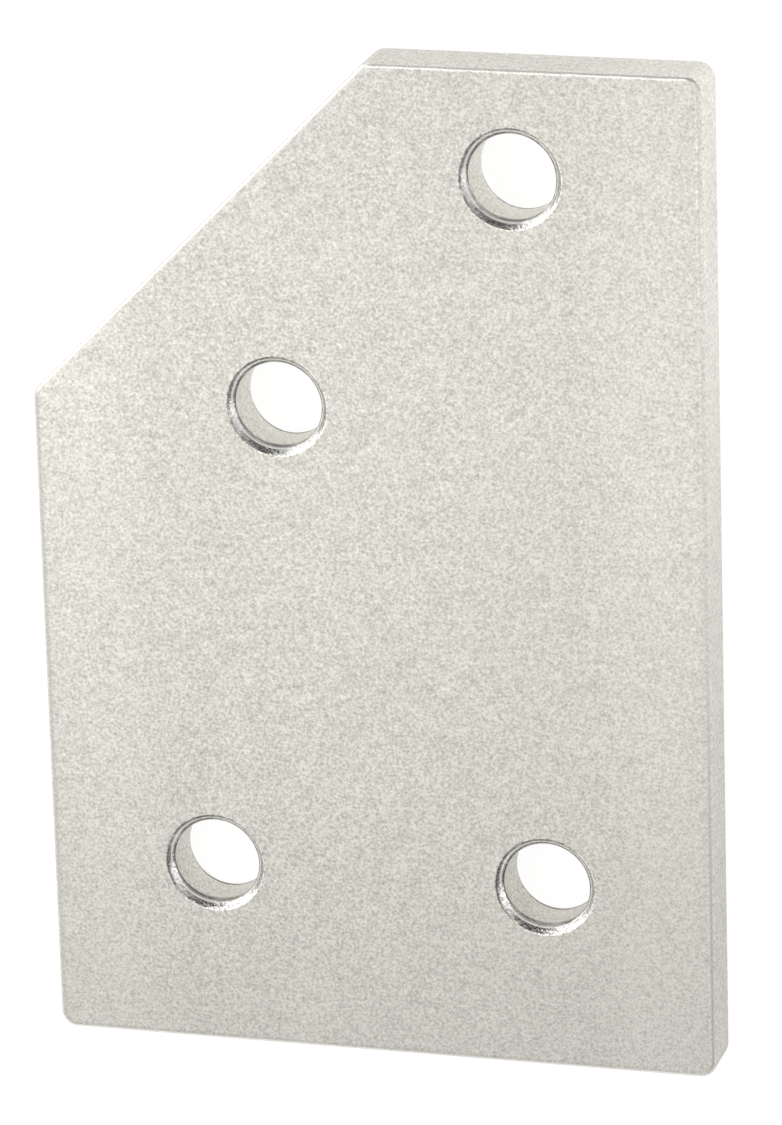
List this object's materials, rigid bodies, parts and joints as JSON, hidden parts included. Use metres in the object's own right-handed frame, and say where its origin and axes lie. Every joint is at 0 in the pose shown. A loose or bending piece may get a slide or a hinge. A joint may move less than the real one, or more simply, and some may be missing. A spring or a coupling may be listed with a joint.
{
  "type": "extrusion joining plate",
  "caption": "Flat metal plate with one corner cut off at an angle and drilled for bolts, which joins a straight slotted framing bar to one at 45 degrees.",
  "frame": {"origin": "the middle of the plate's overall rectangle, on its back face", "axes": "+X across the plate, along the lower bolt pair; +Y up the plate, away from the lower bolt pair; +Z out of the front face, through the thickness"},
  "size_m": [0.0508, 0.0762, 0.0048],
  "materials": {
    "plate": "tumbled satin"
  },
  "bodies": {
    "root": {"joining_plate": "plate"}
  },
  "joints": []
}
